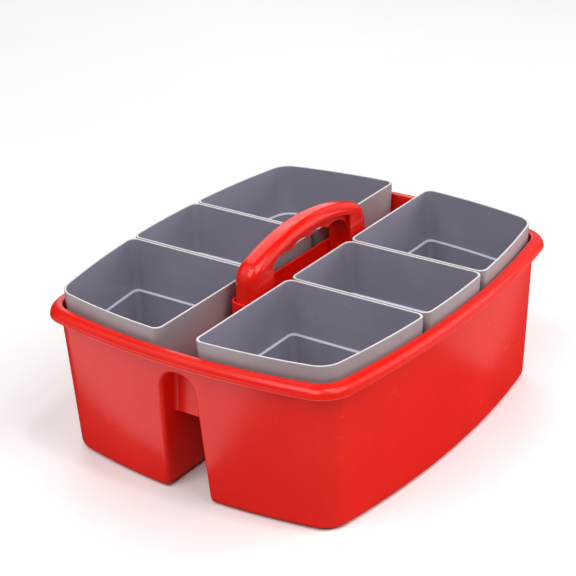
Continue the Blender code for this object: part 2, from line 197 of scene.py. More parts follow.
# Colours
RED = (0.74, 0.009, 0.0035, 1.0)
RED_LIGHT = (0.78, 0.011, 0.0045, 1.0)      # cloudy patches
RED_DEEP = (0.60, 0.006, 0.003, 1.0)        # flow marks and grain
RED_WORN_AND_HIGHLIGHT = (0.88, 0.20, 0.16, 1.0)          # rubbed edges and scuffs, and the painted highlight lines along the rim
GREY_IN_SHADE = (0.250, 0.235, 0.300, 1.0)           # inside of a cup, darker and bluer as painted shade
GREY_IN_SHADE_CLOUDY = (0.280, 0.262, 0.330, 1.0)
GREY_OUT_LIT = (0.315, 0.285, 0.300, 1.0)       # outside of a cup, lighter and warmer as painted light and painted red reflection
GREY_OUT_LIT_CLOUDY = (0.345, 0.312, 0.325, 1.0)
GREY_DEEP = (0.200, 0.188, 0.245, 1.0)      # grain and draw marks
GREY_PALE_SCUFF_AND_HIGHLIGHT = (0.72, 0.68, 0.67, 1.0)         # scuffs, and the painted highlight on the cups' rims
GREY_STEP_HIGHLIGHT = (0.56, 0.56, 0.68, 1.0)         # painted highlight on the step in the wall
FLOOR_PALE = (0.90, 0.90, 0.90, 1.0)
FLOOR_PALER = (0.92, 0.92, 0.92, 1.0)

# Painted highlight lines on the plastic, as (height where the line is off, height where it is full)
INNER_HIGHLIGHT = (RIM_TOP - 0.0013, RIM_TOP - 0.0006)
LOWER_HIGHLIGHT_TOP = (LIP_BOTTOM + 0.0013, LIP_BOTTOM + 0.0008)
LOWER_HIGHLIGHT_FOOT = (LIP_BOTTOM - 0.0004, LIP_BOTTOM + 0.0001)
CUP_RIM_HIGHLIGHT = (CUP_RIM - 0.0005, CUP_RIM - 0.0001)
STEP_HIGHLIGHT_TOP = (CUP_LEDGE + 0.0012, CUP_LEDGE + 0.0004)
STEP_HIGHLIGHT_FOOT = (CUP_LEDGE - 0.0020, CUP_LEDGE - 0.0012)

# How a face has to be turned for a painted highlight line to show, as (off, full)
INNER_HIGHLIGHT_UP = (0.45, 0.65)
LOWER_HIGHLIGHT_DOWN = (-0.1, -0.4)
STEP_HIGHLIGHT_UP = (0.35, 0.75)
FACING_IN = (-0.03, -0.06)
FACING_OUT = (0.02, 0.05)

# Camera
CAMERA_PLACE = Vector((-1.0141, -0.7198, 0.6976))
CAMERA_YAW, CAMERA_PITCH, CAMERA_ROLL = 0.6441, 0.4515, 0.0479
CAMERA_LENS = 113.95
CAMERA_SENSOR = 36.0
CAMERA_SHIFT = (0.0486, 0.0208)
CAMERA_RANGE = (0.05, 50.0)

# Softboxes round the object: (azimuth, elevation) in degrees, power in watts
SOFTBOXES = ((0, 22, 2.5), (45, 22, 6.5), (135, 22, 2.5), (315, 22, 7.0),
             (45, 50, 8.5), (135, 50, 4.5), (180, 50, 22.0), (270, 50, 20.0))
SOFTBOX_SIZE = (1.3, 1.3)
SOFTBOX_DISTANCE = 2.0
SOFTBOX_AIM = (0.0, 0.0, 0.06)

# Other lights: name, place, aim, size, power in watts
HIGHLIGHT = ("highlight", (-0.18, -0.54, 1.97), (-0.05, -0.05, 0.12), (0.20, 0.20), 5.0)
SIDE_FILL = ("side_fill", (0.72, -0.72, 0.30), (0.13, -0.12, 0.07), (0.45, 0.45), 3.2)
LEFT_CARD = ("left_card", (-0.40, 0.22, 0.004), (-0.40, 0.22, 1.0), (0.44, 0.44), 0.70)
RIGHT_CARD = ("right_card", (0.42, -0.40, 0.004), (0.42, -0.40, 1.0), (0.60, 0.50), 0.42)
WORLD_STRENGTH = 0.05
FLOOR_HALF = 6.0
FLOOR_CELLS = 24


# ---------------------------------------------------------------- mesh helpers

def mix(a, b, t):
    return a + (b - a) * t


def smooth(t):
    """Rises from 0 to 1 with t, level at both ends."""
    return t * t * (3.0 - 2.0 * t)


def stops(low, high, steps):
    """Even stops after low, up to and with high."""
    return [mix(low, high, k / steps) for k in range(1, steps + 1)]


def quarter(steps, first=0, last=None):
    """Angles of a quarter turn, from step first to step last."""
    last = steps if last is None else last
    return [math.radians(90.0) * k / steps for k in range(first, last + 1)]


def rounding(radius, steps, first=0, last=None):
    """Pairs along a quarter turn: one number rises from 0 to the radius, the other falls to 0."""
    return [(radius * (1.0 - math.cos(angle)), radius * (1.0 - math.sin(angle)))
            for angle in quarter(steps, first, last)]


def link(name, mesh):
    item = bpy.data.objects.new(name, mesh)
    bpy.context.scene.collection.objects.link(item)
    return item


def from_bmesh(name, bm):
    bmesh.ops.recalc_face_normals(bm, faces=bm.faces)
    mesh = bpy.data.meshes.new(name)
    bm.to_mesh(mesh)
    bm.free()
    return link(name, mesh)


def loft(name, rings):
    """One closed solid through rings of equal point count, capped at both ends."""
    bm = bmesh.new()
    rows = [[bm.verts.new(point) for point in ring] for ring in rings]
    count = len(rows[0])
    for lower, upper in zip(rows, rows[1:]):
        for i in range(count):
            j = (i + 1) % count
            bm.faces.new((lower[i], lower[j], upper[j], upper[i]))
    bm.faces.new(rows[0])
    bm.faces.new(rows[-1])
    return from_bmesh(name, bm)


def boxes(name, corners):
    """Separate boxes in one mesh, each between two opposite corners."""
    bm = bmesh.new()
    for low, high in corners:
        cube = bmesh.ops.create_cube(bm, size=1.0)["verts"]
        for vert in cube:
            for axis in range(3):
                vert.co[axis] = mix(low[axis], high[axis], vert.co[axis] + 0.5)
    return from_bmesh(name, bm)


def combine(target, tool, operation="DIFFERENCE"):
    """Applies one exact boolean and removes the shape that it used."""
    modifier = target.modifiers.new(tool.name, "BOOLEAN")
    modifier.operation = operation
    modifier.solver = "EXACT"
    modifier.object = tool
    graph = bpy.context.evaluated_depsgraph_get()
    made = bpy.data.meshes.new_from_object(target.evaluated_get(graph))
    target.modifiers.clear()
    target.data = made
    bpy.data.objects.remove(tool)


def tidy_mesh(item):
    """Welds the crumbs that booleans leave and shades the mesh smooth up to an angle."""
    bm = bmesh.new()
    bm.from_mesh(item.data)
    bmesh.ops.remove_doubles(bm, verts=bm.verts, dist=WELD)
    bmesh.ops.dissolve_degenerate(bm, edges=bm.edges, dist=WELD)
    bm.to_mesh(item.data)
    bm.free()
    item.data.shade_smooth()
    item.data.set_sharp_from_angle(angle=math.radians(SMOOTH_ANGLE))
    weighted = item.modifiers.new("weighted_normals", "WEIGHTED_NORMAL")
    weighted.keep_sharp = True


# ---------------------------------------------------------------- outlines

def corner_arc(start, corner, end, steps):
    """Points between start and end on the arc whose tangents meet at the corner."""
    ax, ay = start[0] - corner[0], start[1] - corner[1]
    bx, by = end[0] - corner[0], end[1] - corner[1]
    cosine = (ax * bx + ay * by) / (math.hypot(ax, ay) * math.hypot(bx, by))
    # With this weight the curve is a circle's arc where both tangents are equally long
    weight = math.sqrt(max(0.0, (1.0 - cosine) / 2.0))
    points = []
    for k in range(1, steps):
        t = k / steps
        parts = ((1 - t) ** 2, 2 * weight * t * (1 - t), t * t)
        total = sum(parts)
        points.append(tuple(
            (parts[0] * start[i] + parts[1] * corner[i] + parts[2] * end[i]) / total
            for i in range(2)))
    return points


def meeting_point(p, p_way, q, q_way):
    """Where the line through p along p_way meets the line through q along q_way."""
    cross = p_way[0] * q_way[1] - p_way[1] * q_way[0]
    t = ((q[0] - p[0]) * q_way[1] - (q[1] - p[1]) * q_way[0]) / cross
    return (p[0] + p_way[0] * t, p[1] + p_way[1] * t)


def rounded_loop(corners, bows, radii, side_steps, corner_steps):
    """Closed outline of sides that bow out, joined by corners tangent to them."""
    sides, ways = [], []
    count = len(corners)
    for i in range(count):
        a, b = corners[i], corners[(i + 1) % count]
        along = (b[0] - a[0], b[1] - a[1])
        length = math.hypot(*along)
        normal = (along[1] / length, -along[0] / length)
        first = radii[i] / length
        last = 1.0 - radii[(i + 1) % count] / length
        side = []
        for k in range(side_steps[i] + 1):
            t = mix(first, last, k / side_steps[i])
            rise = 4.0 * bows[i] * t * (1.0 - t)
            side.append((a[0] + along[0] * t + normal[0] * rise,
                         a[1] + along[1] * t + normal[1] * rise))
        sides.append(side)
        slopes = [4.0 * bows[i] * (1.0 - 2.0 * t) for t in (first, last)]
        ways.append([(along[0] + normal[0] * slope, along[1] + normal[1] * slope)
                     for slope in slopes])
    outline = []
    for i in range(count):
        j = (i + 1) % count
        turn = meeting_point(sides[i][-1], ways[i][1], sides[j][0], ways[j][0])
        outline.extend(sides[i])
        outline.extend(corner_arc(sides[i][-1], turn, sides[j][0], corner_steps))
    return outline


def at_height(outline, z):
    return [(x, y, z) for x, y in outline]


# ---------------------------------------------------------------- tub

def wall_inset(z):
    """How far the outer face of the wall stands inside the rim's edge."""
    return RIM_REACH + WALL_DRAFT * (LIP_BOTTOM - min(z, LIP_BOTTOM))


def tub_ring(inset, z, corner):
    """The tub's bowed outline at one height, moved in from the rim's edge by the inset."""
    a = LENGTH / 2 - inset
    b = WIDTH / 2 - inset
    side_bow = mix(SIDE_BOW_BOTTOM, SIDE_BOW_TOP, z / RIM_TOP)
    cx, cy = a - END_BOW, b - side_bow
    corners = ((cx, -cy), (cx, cy), (-cx, cy), (-cx, -cy))
    bows = (END_BOW, side_bow, END_BOW, side_bow)
    outline = rounded_loop(corners, bows, (corner,) * 4, (SIDE_STEPS,) * 4, CORNER_STEPS)
    return at_height(outline, z)


def wall_rings(z_floor, radius, inset_at, corner, top):
    """Rings from a rounded bottom edge up a drafted wall."""
    turn = z_floor + radius
    rings = []
    for rise, inward in rounding(radius, ROUND_STEPS):
        rings.append(tub_ring(inset_at(turn) + inward, z_floor + rise, corner))
    for z in stops(turn, top, WALL_STEPS):
        rings.append(tub_ring(inset_at(z), z, corner))
    return rings


def tub_outside():
    """The tub's filled outer shape, from its rounded bottom edge over the lip to the rolled rim."""
    under = RIM_TOP - RIM_FLANGE
    rings = wall_rings(0.0, BOTTOM_ROUND, wall_inset, WALL_CORNER, under - UNDER_FILLET)
    for outward, drop in rounding(UNDER_FILLET, FILLET_STEPS, 1):
        corner = mix(WALL_CORNER, RIM_CORNER, UNDER_CORNER * outward / UNDER_FILLET)
        rings.append(tub_ring(wall_inset(under) - outward, under - drop, corner))
    half = LIP_THICKNESS / 2
    rings.append(tub_ring(LIP_THICKNESS + half, under, RIM_CORNER))
    rings.append(tub_ring(LIP_THICKNESS, under - half, RIM_CORNER))
    for across, rise in rounding(half, ROUND_STEPS, 0, 2 * ROUND_STEPS):
        rings.append(tub_ring(LIP_THICKNESS - across, LIP_BOTTOM + rise, RIM_CORNER))
    for k in range(LIP_STEPS + 1):
        t = k / LIP_STEPS
        z = LIP_BOTTOM + mix(LIP_BEAD_TOP, LIP_STRAIGHT, t)
        rings.append(tub_ring(LIP_BEAD * smooth(t), z, RIM_CORNER))
    for angle in quarter(2 * ROUND_STEPS, 1):
        inset = mix(LIP_BEAD, RIM_ROLL, 1.0 - math.cos(angle))
        z = mix(LIP_BOTTOM + LIP_STRAIGHT, RIM_TOP, math.sin(angle))
        rings.append(tub_ring(inset, z, RIM_CORNER))
    return loft("tub_shell", rings)


def inner_inset(z):
    """How far the inner face of the wall stands inside the rim's edge."""
    return wall_inset(z) + WALL


def tub_cavity():
    """The space inside the tub, flared at the top where the rim's inner edge is rounded."""
    low = RIM_TOP - EASE_DEPTH
    rings = wall_rings(FLOOR, BOTTOM_ROUND - WALL, inner_inset, CAVITY_CORNER, low)
    for turned, left in rounding(1.0, ROUND_STEPS, 1, ROUND_STEPS - 1):
        corner = mix(CAVITY_CORNER, EASE_CORNER, turned)
        rings.append(tub_ring(inner_inset(low) - EASE_WIDTH * turned,
                              RIM_TOP - EASE_DEPTH * left, corner))
    rings.append([(x, y, z + PAST) for x, y, z in rings[-1]])
    return loft("cavity", rings)


def tunnel_half(z):
    """Half of the tunnel's width at one height."""
    t = (z - BOTTOM_ROUND) / (TUNNEL_SHOULDER - BOTTOM_ROUND)
    return mix(TUNNEL_HALF_BOTTOM, TUNNEL_HALF_TOP, t)


def arch_top(grow, shoulder):
    """Right half (y, z) of the arch above its shoulder, grown outward by grow."""
    radius = TUNNEL_ARCH + grow
    centre = tunnel_half(shoulder) + grow - radius
    return [(centre + radius * math.cos(angle), shoulder + radius * math.sin(angle))
            for angle in quarter(ARCH_STEPS)]


def arch_section(grow, foot, foot_round):
    """Half-to-half outline (y, z) of the tunnel's arch, grown outward by grow."""
    turn = foot + foot_round
    half = [(tunnel_half(turn) + grow + foot_round, -PAST_FACE)]
    for rise, outward in rounding(foot_round, ROUND_STEPS):
        half.append((tunnel_half(turn) + grow + outward, foot + rise))
    for z in stops(turn, TUNNEL_SHOULDER, WALL_STEPS)[:-1]:
        half.append((tunnel_half(z) + grow, z))
    half += arch_top(grow, TUNNEL_SHOULDER)
    return half + [(-y, z) for y, z in reversed(half)]


def web_face():
    """How far along X the outer face of a web stands."""
    return LENGTH / 2 - wall_inset(WEB_BOTTOM) - WEB_SETBACK


def space_over_saddle(name, grow, half_length):
    """What the lower arch between the webs leaves free under the height of the mouths."""
    foot = SADDLE_SHOULDER - SPACE_OVERLAP
    space = boxes(name, [((-half_length, -SPACE_REACH, foot),
                          (half_length, SPACE_REACH, RIM_TOP + PAST))])
    below = foot - SPACE_OVERLAP
    half = [(tunnel_half(below) + grow + 4 * ARCH_TUCK, below)]
    half += arch_top(grow - ARCH_TUCK, SADDLE_SHOULDER)
    section = half + [(-y, z) for y, z in reversed(half)]
    ends = (-half_length - PAST, half_length + PAST)
    combine(space, loft(name + "_arch", [[(x, y, z) for y, z in section] for x in ends]))
    return space


def end_face(y, z):
    """Outer face of the end wall, which bows across the tub."""
    reach = WIDTH / 2 - SIDE_BOW_TOP
    return LENGTH / 2 - wall_inset(z) - END_BOW * (y / reach) ** 2


def through_loft(name, stations, section_at, inward=0.0):
    """A loft along X. Stations (depth behind the end face, grow) repeat mirrored at both ends."""
    rings = []
    for depth, grow in stations:
        rings.append([(-(end_face(y, z) - inward - depth), y, z) for y, z in section_at(grow)])
    depth, grow = stations[-1]
    start = end_face(0.0, WALL_MIDDLE) - inward - depth - PAST
    for k in range(TUNNEL_STEPS + 1):
        x = -start * (1.0 - 2.0 * k / TUNNEL_STEPS)
        rings.append([(x, y, z) for y, z in section_at(grow)])
    for depth, grow in reversed(stations):
        rings.append([(end_face(y, z) - inward - depth, y, z) for y, z in section_at(grow)])
    return loft(name, rings)


def divider():
    """The saddle between the bins: the arch, one wall thickness outside the tunnel."""
    stations = [(-PAST_WALL, SADDLE_FILLET)] + rounding(SADDLE_FILLET, ROUND_STEPS)

    def section_at(grow):
        return arch_section(WALL + grow, FLOOR, BOTTOM_ROUND - WALL)
    saddle = through_loft("divider", stations, section_at, inward=WALL - CROSSING)
    combine(saddle, space_over_saddle("saddle_space", WALL, web_face() - WEB_THICKNESS))
    return saddle


def tunnel():
    """The space of the tunnel, from end to end, with rounded mouths."""
    stations = [(-PAST_RIM, MOUTH_ROUND)]
    for depth, grow in rounding(MOUTH_ROUND, ROUND_STEPS):
        stations.append((depth - CROSSING, grow))

    def section_at(grow):
        return arch_section(grow, 0.0, BOTTOM_ROUND)
    return through_loft("tunnel", stations, section_at)


def web(side):
    """Cross web near one end of the tunnel, with fillets where it meets the tunnel's wall."""
    face = web_face()
    back = face - WEB_THICKNESS
    low, high = sorted((side * (face + WEB_FILLET), side * (back - WEB_FILLET)))
    plate = boxes("web", [((low, -WEB_REACH, WEB_BOTTOM), (high, WEB_REACH, RIM_TOP))])
    for start, way in ((face, 1.0), (back, -1.0)):
        stations = [(start + way * (WEB_FILLET + PAST), CROSSING)]
        for shrink, away in rounding(WEB_FILLET, ROUND_STEPS):
            stations.append((start + way * away, CROSSING - shrink))
        stations.sort()
        combine(plate, loft("pocket", [
            [(side * x, y, z) for y, z in arch_section(grow, 0.0, BOTTOM_ROUND)]
            for x, grow in stations]))
    return plate


def block_ring(half_length, half_width, corner, z):
    """Straight-sided outline with round corners at one height."""
    corners = ((half_length, -half_width), (half_length, half_width),
               (-half_length, half_width), (-half_length, -half_width))
    flat = (0.0, 0.0, 0.0, 0.0)
    outline = rounded_loop(corners, flat, (corner,) * 4, BLOCK_SIDE_STEPS, BLOCK_CORNER_STEPS)
    return at_height(outline, z)


def block():
    """The upstand on the saddle that the handle's legs plug into."""
    half_length = LEG_OUTER + GAP + BLOCK_WALL
    half_width = HANDLE_WIDTH / 2 + GAP + BLOCK_WALL
    rings = [block_ring(half_length, half_width, HANDLE_ROUND, SADDLE_SHOULDER)]
    for inset, drop in rounding(BLOCK_EDGE, EDGE_STEPS):
        rings.append(block_ring(half_length - inset, half_width - inset,
                                HANDLE_ROUND - inset, BLOCK_TOP - drop))
    return loft("block", rings)


def socket():
    """The hollow of the block, open at the top with a softened mouth."""
    half_length = LEG_OUTER + GAP
    half_width = HANDLE_WIDTH / 2 + GAP
    corner = HANDLE_ROUND - BLOCK_WALL
    rings = [block_ring(half_length, half_width, corner, SADDLE_TOP)]
    for grow, drop in rounding(BLOCK_EDGE, EDGE_STEPS, 0, EDGE_STEPS - 1):
        rings.append(block_ring(half_length + grow, half_width + grow,
                                corner + grow, BLOCK_TOP - drop))
    rings.append([(x, y, BLOCK_TOP + PAST) for x, y, z in rings[-1]])
    return loft("socket", rings)


def tab_places():
    """(x of the tab's hooked face, x of its back, way the hook points) for each snap tab."""
    places = []
    for side in (-1, 1):
        places.append((side * LEG_INNER, side * (LEG_INNER + HANDLE_WALL), -side))
        places.append((side * LEG_OUTER, side * (LEG_OUTER - HANDLE_WALL), side))
    return places


def make_tub():
    """The whole tub: bins, tunnel, webs and the handle's block with its slots."""
    tub = tub_outside()
    cavity = tub_cavity()
    combine(cavity, divider())
    passage = tunnel()
    combine(passage, web(-1))
    combine(passage, web(1))
    combine(passage, space_over_saddle("tunnel_space", 0.0, web_face() - WEB_THICKNESS / 2))
    combine(tub, cavity)
    combine(tub, block(), "UNION")
    combine(tub, passage)
    combine(tub, socket())
    combine(tub, boxes("tab_slots", [
        ((min(a, b) - GAP, -TAB_HALF_WIDTH - GAP, SADDLE_SHOULDER),
         (max(a, b) + GAP, TAB_HALF_WIDTH + GAP, SADDLE_TOP + PAST_FACE))
        for a, b, _ in tab_places()]))
    tidy_mesh(tub)
    return tub


# ---------------------------------------------------------------- handle

def leg_face(z, inset):
    """How far along X the outer face of a leg stands, less the inset."""
    return LEG_OUTER - LEG_DRAFT * max(0.0, z - BLOCK_TOP) - inset


def handle_path(inset, foot):
    """Outer outline (x, z) from one foot over the top to the other."""
    radius = HANDLE_TOP_RADIUS - inset
    centre = HEIGHT - HANDLE_TOP_RADIUS
    corner_z = HEIGHT
    for _ in range(SOLVE_ROUNDS):
        corner_x = leg_face(corner_z, inset)
        corner_z = centre + math.sqrt(radius ** 2 - corner_x ** 2)
    cut = max(LEG_CORNER - inset * LEG_CORNER_SHRINK, LEG_CORNER_LEAST)
    low = (leg_face(corner_z - cut, inset), corner_z - cut)
    high_x = corner_x - cut
    high = (high_x, centre + math.sqrt(radius ** 2 - high_x ** 2))
    half = [(leg_face(z, inset), z) for z in (foot, BLOCK_TOP)]
    half += [(leg_face(z, inset), z) for z in stops(BLOCK_TOP, low[1], LEG_STEPS)]
    half += corner_arc(low, (corner_x, corner_z), high, LEG_CORNER_STEPS)
    for k in range(HANDLE_TOP_STEPS):
        x = high_x * (1.0 - k / HANDLE_TOP_STEPS)
        half.append((x, centre + math.sqrt(radius ** 2 - x * x)))
    return half + [(0.0, centre + radius)] + [(-x, z) for x, z in reversed(half)]


def arch_solid(name, inset, foot):
    """The handle's filled outline, rounded over along its whole outer edge."""
    half_width = HANDLE_WIDTH / 2 - inset
    stations = [(half_width - inward, drop)
                for drop, inward in rounding(HANDLE_ROUND - inset, ARCH_STEPS)]
    rows = [(-y, drop) for y, drop in reversed(stations)] + stations
    return loft(name, [[(x, y, z) for x, z in handle_path(inset + drop, foot)] for y, drop in rows])


def cap_edge(x):
    """Height of the cap's lower edge, which falls in a shallow arc towards the legs."""
    return CAP_EDGE - x * x / (2 * CAP_EDGE_RADIUS)


def core_edge(x):
    """Height of the core's lower edge, with a row of finger scallops along its arc."""
    phase = (x / SCALLOP_PITCH) % 1.0
    scallop = SCALLOP_DEPTH * 4.0 * phase * (1.0 - phase)
    return CORE_EDGE - x * x / (2 * CORE_EDGE_RADIUS) + scallop


def gap_outline(edge, corner, grow_out, grow_up):
    """Half-to-half outline (x, z) of the space between the legs, up to an edge of the grip."""
    x_side = LEG_INNER + grow_out
    x_turn = LEG_INNER - corner
    z_turn = edge(x_turn)
    half = [(x_side, SADDLE_SHOULDER)]
    half += [(x_side, z) for z in stops(SADDLE_SHOULDER, z_turn - corner, LEG_STEPS)]
    half += corner_arc(half[-1], (x_side, z_turn + grow_up), (x_turn, z_turn + grow_up),
                       GRIP_CORNER_STEPS)
    for k in range(GRIP_STEPS + 1):
        x = x_turn * (1.0 - k / GRIP_STEPS)
        half.append((x, edge(x) + grow_up))
    return half + [(-x, z) for x, z in reversed(half[:-1])]


def core_gap():
    """Cuts the scalloped lower edge of the grip's core, rounded on both sides."""
    stations = [(CORE_HALF_WIDTH + CROSSING - inward, grow)
                for inward, grow in rounding(GRIP_EDGE, EDGE_STEPS)]
    rows = [(-y, grow) for y, grow in stations] + stations[::-1]
    return loft("core_gap", [
        [(x, y, z) for x, z in gap_outline(core_edge, CORE_CORNER, 0.0, grow)]
        for y, grow in rows])


def cap_gap(side):
    """Cuts the lower edge of the grip's wide cap on one side, and rounds the legs' edges."""
    half_width = HANDLE_WIDTH / 2
    stations = [(2 * half_width, GRIP_EDGE)]
    stations += [(half_width + CROSSING - inward, grow)
                 for inward, grow in rounding(GRIP_EDGE, EDGE_STEPS)]
    stations.append((CORE_HALF_WIDTH, 0.0))
    return loft("cap_gap", [
        [(x, side * y, z) for x, z in gap_outline(cap_edge, CAP_CORNER, grow, grow)]
        for y, grow in stations])


def snap_tabs():
    """Four hooks that pass through the block's floor and catch under it."""
    catch = SADDLE_SHOULDER + TUNNEL_ARCH - TAB_CATCH
    tip = catch - TAB_DEPTH
    top = HANDLE_FOOT + TAB_ROOT
    bm = bmesh.new()
    for face, back, way in tab_places():
        profile = ((face, top), (face, catch), (face + way * TAB_HOOK, catch),
                   (face, tip), (back, tip), (back, top))
        rows = [[bm.verts.new((x, y, z)) for x, z in profile]
                for y in (-TAB_HALF_WIDTH, TAB_HALF_WIDTH)]
        for i in range(len(profile)):
            j = (i + 1) % len(profile)
            bm.faces.new((rows[0][i], rows[0][j], rows[1][j], rows[1][i]))
        bm.faces.new(rows[0])
        bm.faces.new(rows[1])
    return from_bmesh("snap_tabs", bm)


def make_handle():
    """The whole handle: an arch hollowed from below, less what its inner walls keep filled."""
    handle = arch_solid("handle_grip", 0.0, HANDLE_FOOT)
    channel = arch_solid("channel", HANDLE_WALL, HANDLE_FOOT - PAST)
    reach = HANDLE_WIDTH
    tall = HEIGHT + PAST
    core_end = LEG_INNER + CORE_OVERLAP
    combine(channel, boxes("leg_walls", [
        ((min(near, far), -reach, 0.0), (max(near, far), reach, tall))
        for near, far in ((-LEG_INNER, -LEG_INNER - HANDLE_WALL),
                          (LEG_INNER, LEG_INNER + HANDLE_WALL))]))
    combine(channel, boxes("core_walls", [
        ((-core_end, min(near, far), 0.0), (core_end, max(near, far), tall))
        for near, far in ((-CORE_HOLLOW_HALF_WIDTH, -reach), (CORE_HOLLOW_HALF_WIDTH, reach))]))
    combine(handle, channel)
    combine(handle, core_gap())
    combine(handle, cap_gap(-1))
    combine(handle, cap_gap(1))
    combine(handle, snap_tabs(), "UNION")
    tidy_mesh(handle)
    return handle


# ---------------------------------------------------------------- cups

def corner_cup_outline(inset):
    """Corner cup in the +X +Y quarter: two straight sides, two that follow the tub."""
    x_in = CUP_SPLIT + CUP_SPLIT_GAP / 2 + inset
    y_in = CUP_ROW_IN + inset
    end, side = CUP_END - inset, CUP_SIDE - inset
    x_corner, y_corner = end, side
    for _ in range(SOLVE_ROUNDS):
        x_corner = end - CUP_END_CURVE * y_corner ** 2
        y_corner = side - CUP_SIDE_CURVE * x_corner ** 2
    corners = ((x_in, y_in), (end - CUP_END_CURVE * y_in ** 2, y_in),
               (x_corner, y_corner), (x_in, side - CUP_SIDE_CURVE * x_in ** 2))
    end_bow = CUP_END_CURVE * (y_corner - y_in) ** 2 / 4
    side_bow = CUP_SIDE_CURVE * (x_corner - x_in) ** 2 / 4
    tight = CUP_CORNER - inset * CUP_CORNER_SHRINK
    wide = CUP_OUTER_CORNER - inset * CUP_CORNER_SHRINK
    bows = (0.0, end_bow, side_bow, 0.0)
    radii = (tight, tight, wide, tight)
    return rounded_loop(corners, bows, radii, CORNER_CUP_STEPS, CUP_CORNER_STEPS)


def middle_cup_outline(inset):
    """Middle cup on the +Y side: three straight sides, one that follows the tub."""
    half = CUP_SPLIT - CUP_SPLIT_GAP / 2 - inset
    y_in = CUP_ROW_IN + inset
    y_out = CUP_SIDE - inset - CUP_SIDE_CURVE * half ** 2
    corners = ((-half, y_in), (half, y_in), (half, y_out), (-half, y_out))
    bows = (0.0, 0.0, CUP_SIDE_CURVE * half ** 2, 0.0)
    radii = (CUP_CORNER - inset * CUP_CORNER_SHRINK,) * 4
    return rounded_loop(corners, bows, radii, MIDDLE_CUP_STEPS, CUP_CORNER_STEPS)


def cup_wall(extra, z_round, top):
    """(inset, z) up one face of a cup's wall, over a soft step, from z_round to top."""
    step_low = CUP_LEDGE - CUP_STEP_HEIGHT
    rows = []
    for z in stops(z_round, step_low - CUP_STEP_ROOM, CUP_WALL_STEPS):
        rows.append((CUP_DRAFT * (CUP_RIM - z) + CUP_STEP + extra, z))
    for t in stops(0.0, 1.0, CUP_WALL_STEPS):
        z = mix(step_low, CUP_LEDGE, t)
        rows.append((CUP_DRAFT * (CUP_RIM - z) + CUP_STEP * (1.0 - smooth(t)) + extra, z))
    for z in stops(CUP_LEDGE, top, CUP_TOP_STEPS):
        rows.append((CUP_DRAFT * (CUP_RIM - z) + extra, z))
    return rows


def cup_profile(floor, extra, radius, top):
    """(inset, z) from the middle of a cup's bottom edge up to its rim."""
    turn = floor + radius
    inset = CUP_DRAFT * (CUP_RIM - turn) + CUP_STEP + extra
    rows = [(inset + inward, floor + rise) for rise, inward in rounding(radius, ROUND_STEPS)]
    return rows + cup_wall(extra, turn, top)


def make_cup(name, outline, sign_x, sign_y):
    """One cup. Its points carry "inside", which is 1 on the inner face and 0 on the outer."""
    bottom = FLOOR + GAP
    half = CUP_WALL / 2
    outside = cup_profile(bottom, 0.0, CUP_BOTTOM_ROUND, CUP_RIM - half)
    inside = cup_profile(bottom + CUP_WALL, CUP_WALL, CUP_BOTTOM_ROUND - CUP_WALL, CUP_RIM - half)
    over = [(half - half * math.cos(angle), CUP_RIM - half + half * math.sin(angle))
            for angle in quarter(CUP_RIM_STEPS, 1, 2 * CUP_RIM_STEPS - 1)]
    rings = [[(sign_x * x, sign_y * y, z) for x, y in outline(inset)]
             for inset, z in outside + over + inside[::-1]]
    cup = loft(name, rings)
    mark = cup.data.attributes.new("inside", "FLOAT", "POINT")
    first_inner = len(outside) + len(over) // 2
    per_ring = len(rings[0])
    mark.data.foreach_set("value", [
        1.0 if k // per_ring >= first_inner else 0.0 for k in range(per_ring * len(rings))])
    tidy_mesh(cup)
    return cup


# ---------------------------------------------------------------- plastics

class Nodes:
    """Adds nodes to one material and links them by name."""

    def __init__(self, name):
        self.material = bpy.data.materials.new(name)
        self.material.use_nodes = True
        self.tree = self.material.node_tree
        self.shader = self.tree.nodes["Principled BSDF"]
        self.where = self.add("ShaderNodeTexCoord").outputs["Object"]
        self.shape = self.add("ShaderNodeNewGeometry").outputs

    def add(self, kind, **settings):
        made = self.tree.nodes.new(kind)
        for key, value in settings.items():
            setattr(made, key, value)
        return made

    def set(self, socket, value):
        if isinstance(value, bpy.types.NodeSocket):
            self.tree.links.new(value, socket)
        else:
            socket.default_value = value

    def noise(self, scale, detail=2.0, roughness=0.5, stretch=None):
        made = self.add("ShaderNodeTexNoise")
        made.inputs["Scale"].default_value = scale
        made.inputs["Detail"].default_value = detail
        made.inputs["Roughness"].default_value = roughness
        place = self.where
        if stretch:
            mapping = self.add("ShaderNodeMapping")
            mapping.inputs["Scale"].default_value = stretch
            self.set(mapping.inputs["Vector"], place)
            place = mapping.outputs["Vector"]
        self.set(made.inputs["Vector"], place)
        return made.outputs["Fac"]

    def math(self, operation, *values):
        made = self.add("ShaderNodeMath", operation=operation)
        for socket, value in zip(made.inputs, values):
            self.set(socket, value)
        return made.outputs["Value"]

    def remap(self, value, low, high):
        """0 at low and 1 at high, smooth between them and level past them."""
        made = self.add("ShaderNodeMapRange", interpolation_type="SMOOTHSTEP")
        for key, setting in (("Value", value), ("From Min", low), ("From Max", high)):
            self.set(made.inputs[key], setting)
        return made.outputs["Result"]

    def blend(self, share, first, second):
        made = self.add("ShaderNodeMix", data_type="RGBA")
        colours = [s for s in made.inputs if s.type == "RGBA"]
        self.set(made.inputs["Factor"], share)
        self.set(colours[0], first)
        self.set(colours[1], second)
        return [s for s in made.outputs if s.type == "RGBA"][0]

    def bump(self, height, strength, distance, under=None):
        made = self.add("ShaderNodeBump")
        made.inputs["Strength"].default_value = strength
        made.inputs["Distance"].default_value = distance
        self.set(made.inputs["Height"], height)
        if under is not None:
            self.set(made.inputs["Normal"], under)
        return made.outputs["Normal"]

    def axis(self, socket, letter):
        made = self.add("ShaderNodeSeparateXYZ")
        self.set(made.inputs["Vector"], socket)
        return made.outputs[letter]


